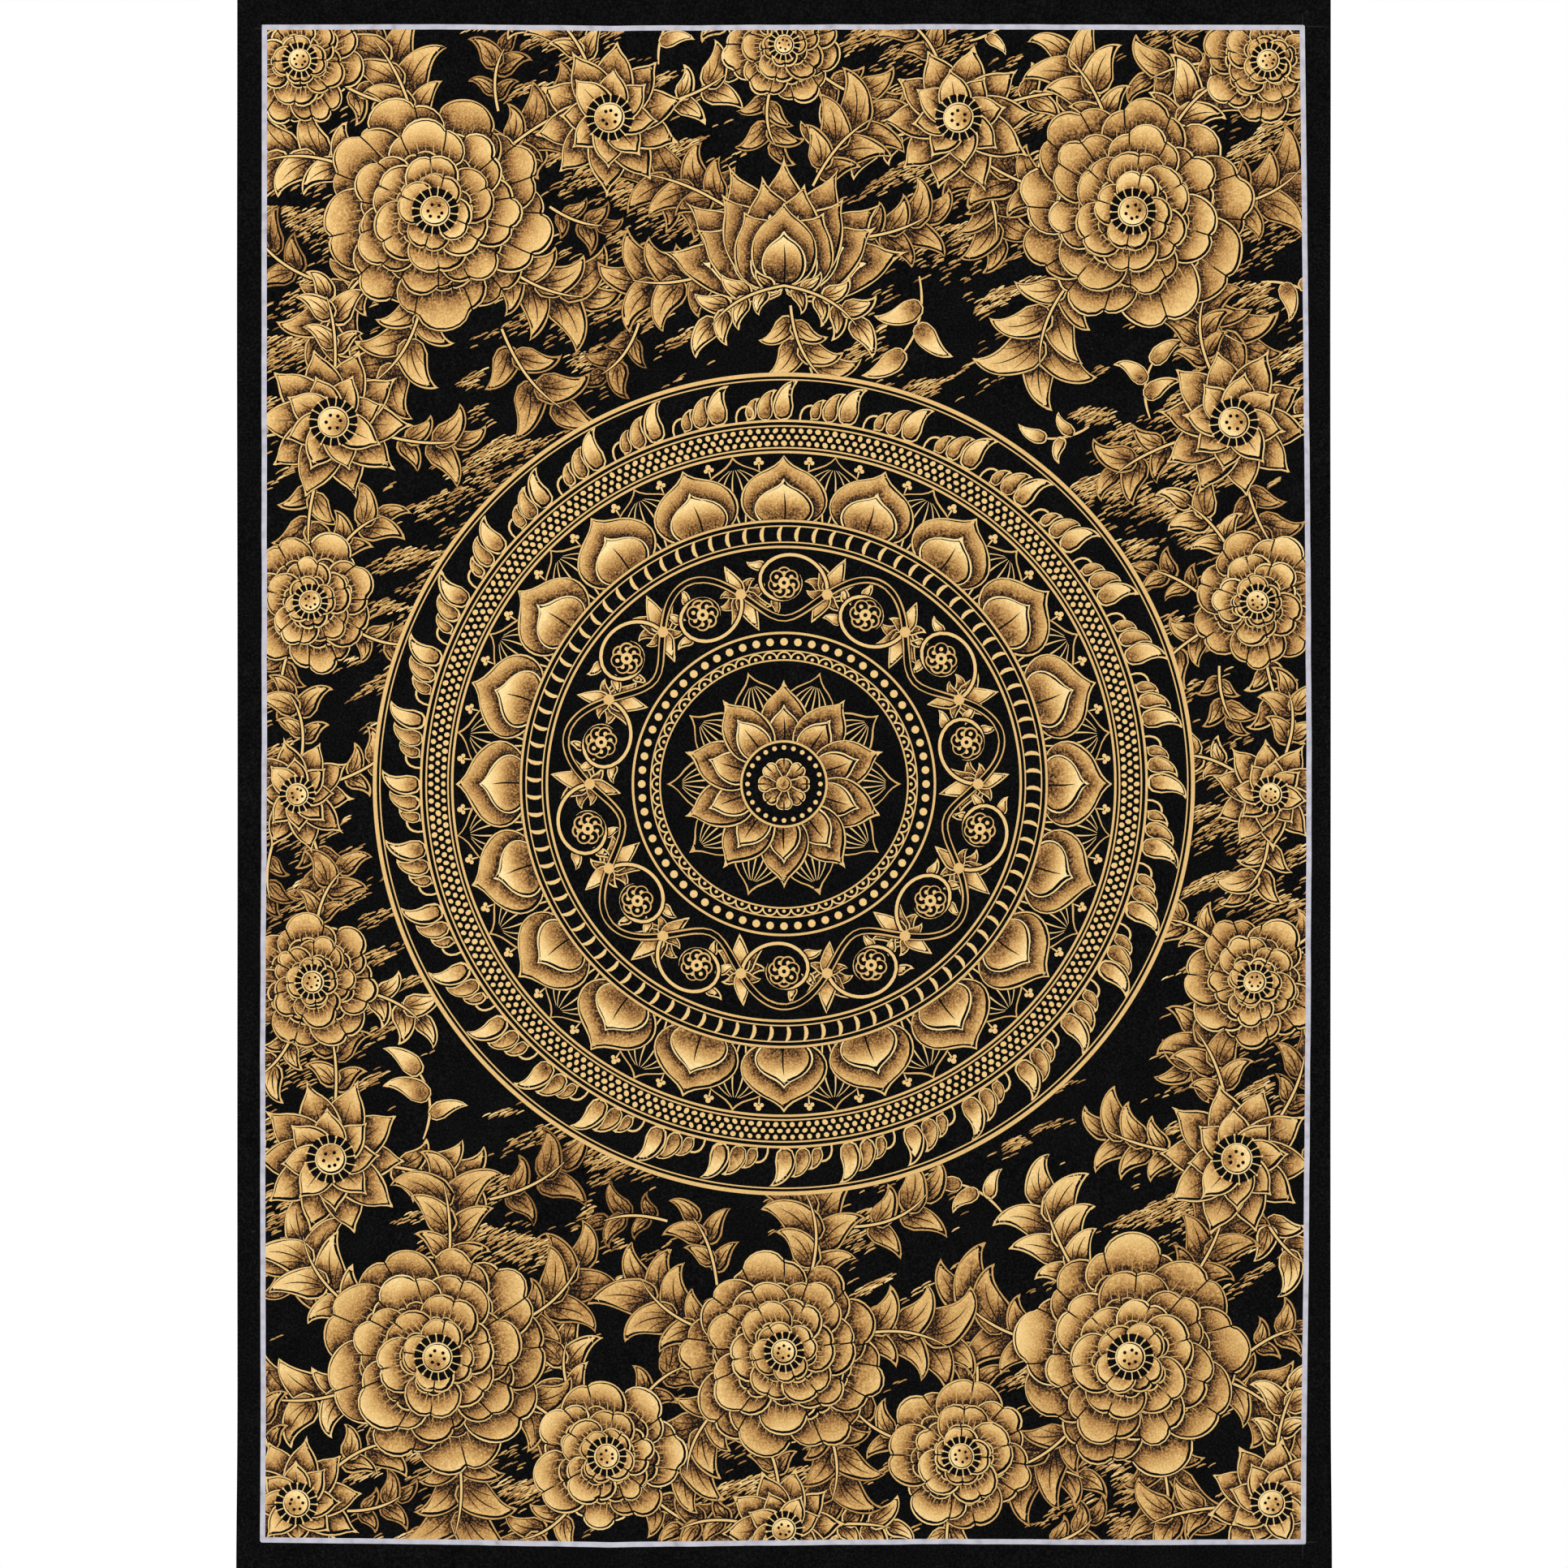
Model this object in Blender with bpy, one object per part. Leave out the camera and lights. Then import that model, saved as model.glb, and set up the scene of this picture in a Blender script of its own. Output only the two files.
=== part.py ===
"""Painted cotton hanging, unmounted: one sized black canvas, hung by its top edge.

Metres, +Z up. The front of the cloth faces -Y. The origin is the middle of the top edge,
halfway through the cloth. The cloth is one piece, cut straight, with no hem, rod or lining.
"""

import math

import bmesh
import bpy

# Driving sizes
CLOTH_WIDTH = 0.420
CLOTH_HEIGHT = 0.604
CLOTH_THICKNESS = 0.001
TOP_STRIP = 0.012  # the margin along the top edge, which lies flat where the cloth is held

# The cloth stands off its own plane in long, shallow waves, and lies flat at the top strip.
FULL_WAVE_DEPTH = 0.150  # how far below the strip the waves reach their full height
#   height   length across   length down   start of the wave, in turns
WAVES = (
    (0.0011, 0.520, 1.900, 0.10),
    (0.0008, 0.310, -0.840, 0.55),
    (0.0005, 0.900, 0.330, 0.30),
)

# It was rolled up from the bottom, so the lower edge still bends forward, the corners most.
CURL_LENGTH = 0.090
CURL_EDGE = 0.0022
CURL_CORNER = 0.0018

# Mesh pitch, fine enough for the shortest wave
COLUMNS = 28
ROWS = 40

# Colour of the ground paint, linear
BLACK = (0.0055, 0.0052, 0.0054, 1.0)
BLACK_ROUGHNESS = 0.85


def clear_scene():
    for old in list(bpy.data.objects):
        bpy.data.objects.remove(old)


def smooth_step(share):
    share = min(1.0, max(0.0, share))
    return share * share * (3 - 2 * share)


def stand_off(x, z):
    """How far the middle of the cloth lies behind its hanging plane; negative is forward."""
    below_strip = -z - TOP_STRIP
    if below_strip <= 0:
        return 0.0
    waves = sum(
        height * math.sin(2 * math.pi * (x / across + z / down + start))
        for height, across, down, start in WAVES
    )
    curl = smooth_step((below_strip - (CLOTH_HEIGHT - TOP_STRIP - CURL_LENGTH)) / CURL_LENGTH)
    off_centre = abs(x) / (CLOTH_WIDTH / 2)
    forward = curl * curl * (CURL_EDGE + CURL_CORNER * off_centre**3)
    return waves * smooth_step(below_strip / FULL_WAVE_DEPTH) - forward


def row_heights():
    """The top edge, the strip's lower edge, then even rows down to the lower edge."""
    pitch = (CLOTH_HEIGHT - TOP_STRIP) / ROWS
    return [0.0] + [-TOP_STRIP - row * pitch for row in range(ROWS + 1)]


def painted_ground():
    material = bpy.data.materials.new("black_canvas")
    material.use_nodes = True
    shader = material.node_tree.nodes["Principled BSDF"]
    shader.inputs["Base Color"].default_value = BLACK
    shader.inputs["Roughness"].default_value = BLACK_ROUGHNESS
    shader.inputs["Metallic"].default_value = 0.0
    return material


def canvas():
    """The middle surface of the cloth as a grid, made a solid sheet by Solidify."""
    mesh = bpy.data.meshes.new("canvas")
    grid = bmesh.new()
    heights = row_heights()
    xs = [CLOTH_WIDTH * (column / COLUMNS - 0.5) for column in range(COLUMNS + 1)]
    points = [[grid.verts.new((x, stand_off(x, z), z)) for x in xs] for z in heights]
    for upper, lower in zip(points, points[1:]):
        for i in range(COLUMNS):
            grid.faces.new((upper[i], lower[i], lower[i + 1], upper[i + 1]))
    grid.to_mesh(mesh)
    grid.free()
    mesh.shade_smooth()
    mesh.set_sharp_from_angle(angle=math.radians(40))
    mesh.materials.append(painted_ground())
    cloth = bpy.data.objects.new("canvas", mesh)
    bpy.context.scene.collection.objects.link(cloth)
    sheet = cloth.modifiers.new("Thickness", "SOLIDIFY")
    sheet.thickness = CLOTH_THICKNESS
    sheet.offset = 0.0
    sheet.use_even_offset = True
    return cloth


def main():
    clear_scene()
    canvas()


main()
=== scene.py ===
"""Looks of the painted cotton hanging: the cloth, its pale line and the gold brushwork.

The frame is in metres. The painting is drawn in millimetres on the flat cloth, x to the right
of the middle of its top edge and z up, and is then laid on the cloth's waves. Every brush mark
is a closed outline. Later marks cover earlier ones, and only what still shows becomes a mesh,
so the paint is one thin layer.
"""
import math
import random
from collections import namedtuple

import bpy
import numpy as np
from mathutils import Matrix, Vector
from mathutils.geometry import delaunay_2d_cdt


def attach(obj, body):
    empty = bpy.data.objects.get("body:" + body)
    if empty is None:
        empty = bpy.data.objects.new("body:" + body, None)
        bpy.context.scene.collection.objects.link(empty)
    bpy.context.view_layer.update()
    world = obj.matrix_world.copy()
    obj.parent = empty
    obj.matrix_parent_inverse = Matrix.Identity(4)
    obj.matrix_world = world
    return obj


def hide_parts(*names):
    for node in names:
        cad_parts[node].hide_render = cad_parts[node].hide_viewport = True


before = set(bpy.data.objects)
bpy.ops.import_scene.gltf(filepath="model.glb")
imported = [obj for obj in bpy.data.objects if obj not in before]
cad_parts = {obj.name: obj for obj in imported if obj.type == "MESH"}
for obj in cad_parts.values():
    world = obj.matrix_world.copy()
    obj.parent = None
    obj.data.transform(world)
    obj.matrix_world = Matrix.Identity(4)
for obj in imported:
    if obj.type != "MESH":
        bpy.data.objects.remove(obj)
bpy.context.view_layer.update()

MM = 0.001
TURN = 2 * math.pi
LEAST_LENGTH = 1e-9  # these two keep a divisor above zero
LEAST_SQUARE = 1e-12

# The cloth, as in the frame, in metres
CLOTH_WIDTH = 0.420
CLOTH_HEIGHT = 0.604
CLOTH_THICKNESS = 0.001
TOP_STRIP = 0.012
FULL_WAVE_DEPTH = 0.150
#   height   length across   length down   start of the wave, in turns
WAVES = (
    (0.0011, 0.520, 1.900, 0.10),
    (0.0008, 0.310, -0.840, 0.55),
    (0.0005, 0.900, 0.330, 0.30),
)
CURL_LENGTH = 0.090
CURL_EDGE = 0.0022
CURL_CORNER = 0.0018

# Its finer mesh, how far paint lies above the ground, and one repeat of the weave, in metres
CLOTH_PITCH = 0.003
SHARP_EDGE = math.radians(40)
PAINT_LIFT = 0.00006
LINE_LIFT = 0.00009
WEAVE_ACROSS = 0.00080
WEAVE_DOWN = 0.00096

# The pale line round the painting, in millimetres: its outer edge, and how far each side bows
# out from that box at even steps, left and right from the top, top and bottom from the left
LINE_BOX = (-200.5, 200.5, -592.6, -10.4)  # left, right, bottom, top
LINE_WIDTH = 1.98
LINE_STEPS = 240
#  left  right  top  bottom
LINE_BOWS = (
    (0.0, -0.5, 0.0, 0.2),
    (0.0, 0.8, 0.2, 0.9),
    (0.1, 1.7, -0.4, 2.1),
    (0.2, 2.2, 0.0, 1.4),
    (0.7, 1.8, 0.2, 0.8),
    (0.6, 0.95, 0.0, 1.1),
    (0.4, -0.5, -0.1, 0.8),
)
# How far from a corner its rounding starts: lower left, lower right, upper right, upper left
OUTER_CUTS = (0.8, 0.6, 0.6, 0.2)
INNER_CUTS = (0.1, 0.1, 0.1, 0.1)
ROUNDING = 0.29  # the middle of a rounding, as a share of its cut from the corner each way
GUIDE_WIDTH = 0.4
#  across   down   how far it runs across and down
GUIDE_MARKS = (
    (-200.0, -11.8, -3.6, 0.0),
    (200.6, -11.0, 7.2, -0.2),
    (199.2, -10.4, 0.0, 4.2),
    (198.8, -592.6, 0.0, -6.4),
    (199.6, -592.6, 5.0, 0.1),
)
# Well outside the cloth: to the sides and above, and below
FAR = 260.0
FAR_BELOW = -860.0

# Brush widths inwards from a mark's outline: bare edge, gold line, bare gap. The rest is wash.
Brush = namedtuple("Brush", "edge line gap")
BARE = Brush(math.inf, 0, 0)
SOLID = Brush(0, math.inf, 0)
HOLLOW = Brush(0, 0.55, math.inf)
PETAL = Brush(0.2, 0.54, 0.55)
SMALL = Brush(0.15, 0.45, 0.35)
PRESSURE_SWELL = 0.18
GAP_LEAN = (0.50, -0.42)  # how far a wash leans inside its line, in widths of its gap

# An outline keeps a point where it has run or turned this far, in millimetres and radians
LONGEST_STEP = 1.7
SHARPEST_STEP = math.radians(15)
SHARP_CORNER = 0.5

# Meshes of the marks, in millimetres
MERGED = 1e-4  # points this near each other are one
SAME_DEPTH = 0.07  # points this near a depth are at it
RING_SLACK = 0.8 * SAME_DEPTH
RIDGE = 0.3  # a triangle is split if the depth at its middle is this far off
WASH_PITCH = 2.3
WASH_ROW = 0.87 * WASH_PITCH
WASH_INSET = 0.9

# Shading of a wash: the glow along its rim, and the shade below the marks that cover it
RIM_GLOW = 0.45
RIM_WIDTH = 2.0
UNDER_SHADE = 0.92
UNDER_SHARE = 0.16
UNDER_WIDTHS = (1.7, 3.8)

# Steps along circles and coils, in millimetres
CIRCLE_STEP = 0.9
COIL_STEP = 0.7
# Points along a petal's lobe and root, and to each side of where its notch is looked for
LOBE_STEPS = 14
ROOT_STEPS = 8
NOTCH_STEPS = 4
ANY_HEADING = 6.28  # the upper end of a random heading, in radians

# Sizes from which a petal has veins, a lobe of a leaf has side ribs and a peony has four rings
VEINED_FROM = 12.5
RIBBED_FROM = 9.0
LARGE_PEONY_FROM = 34

# The round place left for the medallion, and how near its flower a branch in it coils
MEDALLION = (0.0, -302.0)
MEDALLION_RADIUS = 158.0
COIL_HEART = 6.6

# The map of bare ground, and what is filled: the widest places, down to this room
GROUND_PITCH = 1.5
ROOM_STEPS = 16
LEAST_ROOM = 12.0
MOST_FILLINGS = 400

# Drifts of flicks: rows this far apart, in banks of this many. The first is this far above the
# line, and they run on past its height by this much. Flicks fill what is gathered above this.
DRIFT_PITCH = 0.80
DRIFT_ROWS = 32
DRIFT_ABOVE = 16
DRIFT_OVERRUN = 32
DRIFT_GATHERED = 0.15

# The studio, in metres
WORLD_STRENGTH = 1.0
FLOOR_HEIGHT = -1.25
FLOOR_WIDTH = 3.2
LIGHT_WIDTH = 1.6
SOFT_LIGHTS = (
    ("key", (-1.2, -2.0, 0.9), 12.0),
    ("fill", (1.4, 1.6, 0.6), 12.0),
)
FRAME_WIDTH = 0.6024
FRAME_MIDDLE = -0.302
LENS = 100.0
SENSOR = 36.0


# ---- the flat geometry of brush marks ----


def smooth(share):
    share = np.clip(share, 0.0, 1.0)
    return share * share * (3 - 2 * share)


def turned(points, angle):
    c, s = math.cos(angle), math.sin(angle)
    return np.asarray(points, float) @ np.array([[c, s], [-s, c]])


def polar(radius, angle):
    """Points at these angles, anticlockwise from the right."""
    return np.stack([radius * np.cos(angle), radius * np.sin(angle)], 1)


def bearing(radius, angle):
    """Points at these angles, clockwise from straight up."""
    return np.stack([radius * np.sin(angle), radius * np.cos(angle)], 1)


def distance_to(points, start, end):
    """Distance of each point to the nearest of the edges from start to end."""
    along = end - start
    square = np.maximum((along**2).sum(1), LEAST_SQUARE)
    out_x = points[:, :1] - start[:, 0]
    out_z = points[:, 1:] - start[:, 1]
    share = np.clip((out_x * along[:, 0] + out_z * along[:, 1]) / square, 0, 1)
    out_x -= share * along[:, 0]
    out_z -= share * along[:, 1]
    return np.sqrt((out_x**2 + out_z**2).min(1))


def crossings(points, start, end):
    """(point, edge, +1 up or -1 down) where an edge lies level with and right of a point."""
    order = np.argsort(points[:, 1])
    level = points[order, 1]
    first = np.searchsorted(level, np.minimum(start[:, 1], end[:, 1]))
    count = np.searchsorted(level, np.maximum(start[:, 1], end[:, 1])) - first
    edge = np.repeat(np.arange(len(start)), count)
    within = np.arange(len(edge)) - np.repeat(np.cumsum(count) - count, count)
    point = order[first[edge] + within]
    a, b = start[edge], end[edge]
    along, out = b - a, points[point] - a
    left = along[:, 0] * out[:, 1] - out[:, 0] * along[:, 1]
    sign = np.sign(along[:, 1])
    right_of = left * sign > 0
    return point[right_of], edge[right_of], sign[right_of]


def windings(points, start, end):
    """How often a closed outline runs round each point, anticlockwise rounds counted up."""
    point, _, sign = crossings(points, start, end)
    return np.bincount(point, sign, len(points))


def thinned(outline):
    """Drops points along straight stretches, and keeps corners and tight bends."""
    before = outline - np.roll(outline, 1, 0)
    heading = np.arctan2(before[:, 1], before[:, 0])
    bend = (np.roll(heading, -1) - heading + math.pi) % TURN - math.pi
    steps = np.hypot(before[:, 0], before[:, 1]).tolist()
    kept, run, turn = [], math.inf, 0.0
    for i, (step, angle) in enumerate(zip(steps, bend.tolist())):
        run += step
        turn += angle
        if run > LONGEST_STEP or abs(turn) > SHARPEST_STEP or abs(angle) > SHARP_CORNER:
            kept.append(i)
            run, turn = 0.0, 0.0
    return outline[kept]


def pressure(points):
    """How hard the brush presses: line widths swell and thin slowly from place to place."""
    x, z = points[:, 0], points[:, 1]
    slow = np.sin(0.33 * x + 0.19 * z) + np.sin(0.41 * z - 0.23 * x + 1.0)
    return 1.0 + PRESSURE_SWELL * slow


class Mark:
    """One brush mark: a closed outline in millimetres and how it is painted.

    The wash is dark along the shadow line and brightens over the reach beyond it.
    """

    def __init__(self, outline, brush, shadow=None, reach=10.0, tones=(0.1, 0.8)):
        self.outline = np.asarray(outline, float)
        self.brush = brush
        self.washed = brush in (PETAL, SMALL)
        self.shadow = None if shadow is None else np.asarray(shadow, float)
        self.reach = reach
        self.tones = tones

    def placed(self, at, turn, flip):
        def put(points):
            return turned(points * (-1, 1) if flip else points, turn) + at

        shadow = None if self.shadow is None else put(self.shadow)
        return Mark(put(self.outline), self.brush, shadow, self.reach, self.tones)

    def tidy(self):
        """Thins the outline and turns it anticlockwise. False if nothing is left of it."""
        outline = thinned(self.outline)
        if len(outline) < 3:
            return False
        x, z = outline[:, 0], outline[:, 1]
        if np.sum(x * np.roll(z, -1) - np.roll(x, -1) * z) < 0:
            outline = outline[::-1]
        self.outline = self.start = outline
        self.end = np.roll(outline, -1, 0)
        self.low, self.high = outline.min(0), outline.max(0)
        return True

    def levels(self):
        """The depths at which the mark changes between bare ground, line and wash."""
        edge, line, gap = self.brush
        return sorted({d for d in (edge, edge + line, edge + line + gap) if 0 < d < math.inf})

    def depth(self, points, lean=(0.0, 0.0)):
        return distance_to(points + lean, self.start, self.end) / pressure(points)

    def lean(self, level):
        """The wash leans to one side inside its line, so the bare gap is thick and thin."""
        _, line, gap = self.brush
        leans = self.washed and level > self.brush.edge + line
        return np.array(GAP_LEAN) * (gap if leans else 0.0)

    def holds(self, points):
        return windings(points, self.start, self.end) > 0


def placed(marks, at=(0.0, 0.0), turn=0.0, flip=False):
    return [mark.placed(at, turn, flip) for mark in marks]


# ---- from marks to meshes ----


class Cover:
    """The edges of the later marks that come near one mark."""

    def __init__(self, mark, later):
        group = np.repeat(np.arange(len(later)), [len(m.start) for m in later])
        start, end = (np.vstack([np.empty((0, 2)), *ends])
                      for ends in ([m.start for m in later], [m.end for m in later]))
        shades = np.array([m.washed for m in later], bool)
        low, high = np.minimum(start, end), np.maximum(start, end)
        # what lies to the mark's right is kept too, because crossings are counted there
        beside = (high[:, 1] >= mark.low[1]) & (low[:, 1] <= mark.high[1]) \
            & (high[:, 0] >= mark.low[0])
        self.start, self.end, self.group = start[beside], end[beside], group[beside]
        self.count = len(later)
        crossing = low[beside][:, 0] <= mark.high[0]
        self.crossing = self.start[crossing], self.end[crossing]
        near = crossing & shades[self.group]
        self.shade_start, self.shade_end = self.start[near], self.end[near]

    def hides(self, points):
        point, edge, sign = crossings(points, self.start, self.end)
        place = self.group[edge] * len(points) + point
        turns = np.bincount(place, sign, self.count * len(points))
        return (turns.reshape(self.count, len(points)) != 0).any(0)


def ring_points(mark, level):
    """Points a given depth inside the outline, where the outline has room for them."""
    along = mark.end - np.roll(mark.start, 1, 0)
    inward = np.stack([-along[:, 1], along[:, 0]], 1)
    inward /= np.maximum(np.hypot(inward[:, 0], inward[:, 1]), LEAST_LENGTH)[:, None]
    lean = mark.lean(level)
    points = mark.start + inward * (level * pressure(mark.start))[:, None] - lean
    return points[np.abs(mark.depth(points, lean) - level) < RING_SLACK]


def wash_points(mark, level):
    """An even spread of points over the part that is washed."""
    rows = np.arange(mark.low[1], mark.high[1], WASH_ROW)
    columns = np.arange(mark.low[0], mark.high[0] + WASH_PITCH, WASH_PITCH)
    x, z = np.meshgrid(columns, rows)
    x[::2] += WASH_PITCH / 2
    points = np.stack([x.ravel(), z.ravel()], 1)
    points = points[mark.holds(points)]
    return points[mark.depth(points) > level + WASH_INSET]


def visible_triangles(mark, cover):
    """The points and triangles of what shows of a mark."""
    levels = mark.levels()
    inner = [ring_points(mark, level) for level in levels]
    if mark.washed:
        inner.append(wash_points(mark, levels[-1]))
    own = np.vstack([mark.outline, *inner])
    half_way = (mark.start + mark.end) / 2
    shows = ~cover.hides(np.vstack([own, half_way]))
    if not shows.any():
        return own, np.empty((0, 3), int)
    outline_count = len(mark.outline)
    shows[:outline_count] = True
    own = own[shows[:len(own)]]
    first, count = len(own), len(cover.crossing[0])
    edges = [(first + k, first + count + k) for k in range(count)]
    edges += [(k, (k + 1) % outline_count) for k in range(outline_count)]
    places = np.vstack([own, *cover.crossing]).tolist()
    found, _, triangles, *_ = delaunay_2d_cdt(places, edges, [], 0, MERGED)
    places = np.array([p.to_tuple() for p in found])
    corners = np.array(triangles)
    middles = places[corners].mean(1)
    corners, middles = (a[mark.holds(middles)] for a in (corners, middles))
    return places, corners[~cover.hides(middles)] if len(corners) else corners


def cut_at(level, places, depths, corners):
    """Splits the triangles across this depth. Returns the points and triangles."""
    side = (depths > level + SAME_DEPTH).astype(int) - (depths < level - SAME_DEPTH)
    signs = side[corners]
    mixed = (signs.min(1) < 0) & (signs.max(1) > 0)
    if not mixed.any():
        return places, corners
    signs, whole, split = signs[mixed], corners[~mixed], corners[mixed]
    level_corner = (signs == 0).any(1)
    alone = np.where(level_corner[:, None], signs == 0, signs * signs.sum(1)[:, None] < 0)
    order = (alone.argmax(1)[:, None] + np.arange(3)) % 3
    a, b, c = np.take_along_axis(split, order, 1).T
    two = ~level_corner
    pairs = np.concatenate([
        np.stack([b[level_corner], c[level_corner]], 1),
        np.stack([a[two], b[two]], 1), np.stack([a[two], c[two]], 1),
    ])
    pairs, number = np.unique(np.sort(pairs, 1), axis=0, return_inverse=True)
    number = number.ravel() + len(places)
    one_count, two_count = int(level_corner.sum()), int(two.sum())
    across, near_b, near_c = np.split(number, (one_count, one_count + two_count))
    share = (level - depths[pairs[:, 0]]) / (depths[pairs[:, 1]] - depths[pairs[:, 0]])
    made = places[pairs[:, 0]] + (places[pairs[:, 1]] - places[pairs[:, 0]]) * share[:, None]
    a1, b1, c1, a2, b2, c2 = *(k[level_corner] for k in (a, b, c)), *(k[two] for k in (a, b, c))
    corners = np.concatenate([
        whole, np.stack([a1, b1, across], 1), np.stack([a1, across, c1], 1),
        np.stack([a2, near_b, near_c], 1), np.stack([near_b, b2, c2], 1),
        np.stack([near_b, c2, near_c], 1),
    ])
    return np.vstack([places, made]), corners


def split_at_ridges(mark, places, corners):
    """Adds the middle of each triangle that the mark's depth is not nearly flat across."""
    depths = mark.depth(places)
    for _ in range(2):
        middles = places[corners].mean(1)
        true = mark.depth(middles)
        off = np.abs(true - depths[corners].mean(1)) > RIDGE
        if not off.any():
            break
        a, b, c = corners[off].T
        new = np.arange(off.sum()) + len(places)
        made = [np.stack(three, 1) for three in ((a, b, new), (b, c, new), (c, a, new))]
        corners = np.concatenate([corners[~off], *made])
        places = np.vstack([places, middles[off]])
        depths = np.append(depths, true[off])
    return places, corners


def zones_of(mark, places, corners):
    """0 for line, 1 for wash and -1 for bare ground, for each triangle."""
    edge, line, gap = mark.brush
    middles = places[corners].mean(1)
    depth = mark.depth(middles)
    level = edge + line + gap
    zones = np.where(mark.depth(middles, mark.lean(level)) < level, -1, 1)
    zones[depth < edge + line] = 0
    zones[depth < edge] = -1
    return zones


def tone_at(mark, points, cover):
    """Tone of the wash, from 0, where the ground shows through, to 1, where it is laid thick."""
    dark, bright = mark.tones
    tone = np.full(len(points), bright)
    if mark.shadow is not None:
        rise = smooth(distance_to(points, mark.shadow[:-1], mark.shadow[1:]) / mark.reach)
        tone = dark + (bright - dark) * rise
    from_rim = mark.depth(points) - mark.levels()[-1]
    tone += (1.0 - tone) * RIM_GLOW * np.exp(-((from_rim / RIM_WIDTH) ** 2))
    if len(cover.shade_start):
        near = distance_to(points, cover.shade_start, cover.shade_end)
        width = np.clip(mark.reach * UNDER_SHARE, *UNDER_WIDTHS)
        tone *= 1 - UNDER_SHADE * np.exp(-near / width)
    return tone


def painted_parts(mark, cover):
    """What shows of the mark's line and of its wash: (0 or 1, (points, tones, triangles))."""
    places, corners = visible_triangles(mark, cover)
    levels = mark.levels() if len(corners) else ()
    if levels:
        places, corners = split_at_ridges(mark, places, corners)
    for level in levels:
        depths = mark.depth(places, mark.lean(level))
        places, corners = cut_at(level, places, depths, corners)
    zones = zones_of(mark, places, corners) if levels else np.zeros(len(corners), int)
    for zone in (0, 1):
        chosen = corners[zones == zone]
        if not len(chosen):
            continue
        used, index = np.unique(chosen, return_inverse=True)
        points = places[used]
        tones = tone_at(mark, points, cover) if zone else np.full(len(used), mark.tones[1])
        yield zone, (points, tones, index.reshape(-1, 3))


def paint(marks):
    """Works out what shows of each mark: the parts of the lines, and those of the washes."""
    marks = [mark for mark in marks if mark.tidy()]
    low = np.array([mark.low for mark in marks])
    high = np.array([mark.high for mark in marks])
    layers = [], []
    for i, mark in enumerate(marks):
        if mark.brush == BARE:
            continue
        meets = (low[i + 1:] < mark.high).all(1) & (high[i + 1:] > mark.low).all(1)
        cover = Cover(mark, [marks[i + 1 + k] for k in np.flatnonzero(meets)])
        for zone, part in painted_parts(mark, cover):
            layers[zone].append(part)
    return layers


# ---- the cloth ----


def stand_off(x, z):
    """How far the middle of the cloth lies behind its hanging plane, in metres."""
    below_strip = -z - TOP_STRIP
    waves = sum(
        height * np.sin(TURN * (x / across + z / down + start))
        for height, across, down, start in WAVES
    )
    curl = smooth((below_strip - (CLOTH_HEIGHT - TOP_STRIP - CURL_LENGTH)) / CURL_LENGTH)
    off_centre = np.abs(x) / (CLOTH_WIDTH / 2)
    forward = curl * curl * (CURL_EDGE + CURL_CORNER * off_centre**3)
    hung = waves * smooth(below_strip / FULL_WAVE_DEPTH) - forward
    return np.where(below_strip <= 0, 0.0, hung)


def add_object(name, data):
    item = bpy.data.objects.new(name, data)
    bpy.context.scene.collection.objects.link(item)
    return item


def add_piece(name, points, faces, material):
    mesh = bpy.data.meshes.new(name)
    mesh.from_pydata(points.tolist(), [], faces.tolist())
    mesh.shade_smooth()
    mesh.materials.append(material)
    piece = add_object(name, mesh)
    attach(piece, "root")
    return piece


def set_attribute(piece, name, values):
    attribute = piece.data.attributes.new(name, "FLOAT", "POINT")
    attribute.data.foreach_set("value", values.astype(np.float32))


def add_paint(name, parts, material, lift):
    """One piece of these parts, laid on the cloth, with a flat map for baking."""
    counts = [len(points) for points, _, _ in parts]
    starts = np.cumsum(counts) - counts
    corners = np.vstack([triangles + start for (_, _, triangles), start in zip(parts, starts)])
    flat = np.vstack([points for points, _, _ in parts]) * MM
    behind = stand_off(flat[:, 0], flat[:, 1]) - CLOTH_THICKNESS / 2 - lift
    points = np.stack([flat[:, 0], behind, flat[:, 1]], 1)
    piece = add_piece(name, points, corners, material)
    set_attribute(piece, "tone", np.concatenate([tones for _, tones, _ in parts]))
    spread = (flat + (CLOTH_WIDTH / 2, CLOTH_HEIGHT)) / (CLOTH_HEIGHT * 1.02) + 0.01
    spread = spread[corners.ravel()].astype(np.float32)
    piece.data.uv_layers.new(name="OFBake").data.foreach_set("uv", spread.ravel())
    return piece


def cloth_lines():
    """Even lines of points across and down the cloth, with the strip's lower edge on one."""
    columns = round(CLOTH_WIDTH / CLOTH_PITCH)
    rows = round((CLOTH_HEIGHT - TOP_STRIP) / CLOTH_PITCH)
    strip_rows = round(TOP_STRIP / CLOTH_PITCH)
    x = np.linspace(-CLOTH_WIDTH / 2, CLOTH_WIDTH / 2, columns + 1)
    z = np.concatenate([
        np.linspace(0, -TOP_STRIP, strip_rows + 1)[:-1],
        np.linspace(-TOP_STRIP, -CLOTH_HEIGHT, rows + 1),
    ])
    return x, z


def grid_faces(columns, rows, first, front):
    """The squares between lines of points, wound to face the front or the back."""
    start = np.arange(columns * rows).reshape(rows, columns) + first
    a, b = start[:-1, :-1].ravel(), start[1:, :-1].ravel()
    c, d = start[1:, 1:].ravel(), start[:-1, 1:].ravel()
    return np.stack([a, b, c, d] if front else [a, d, c, b], 1)


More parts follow.
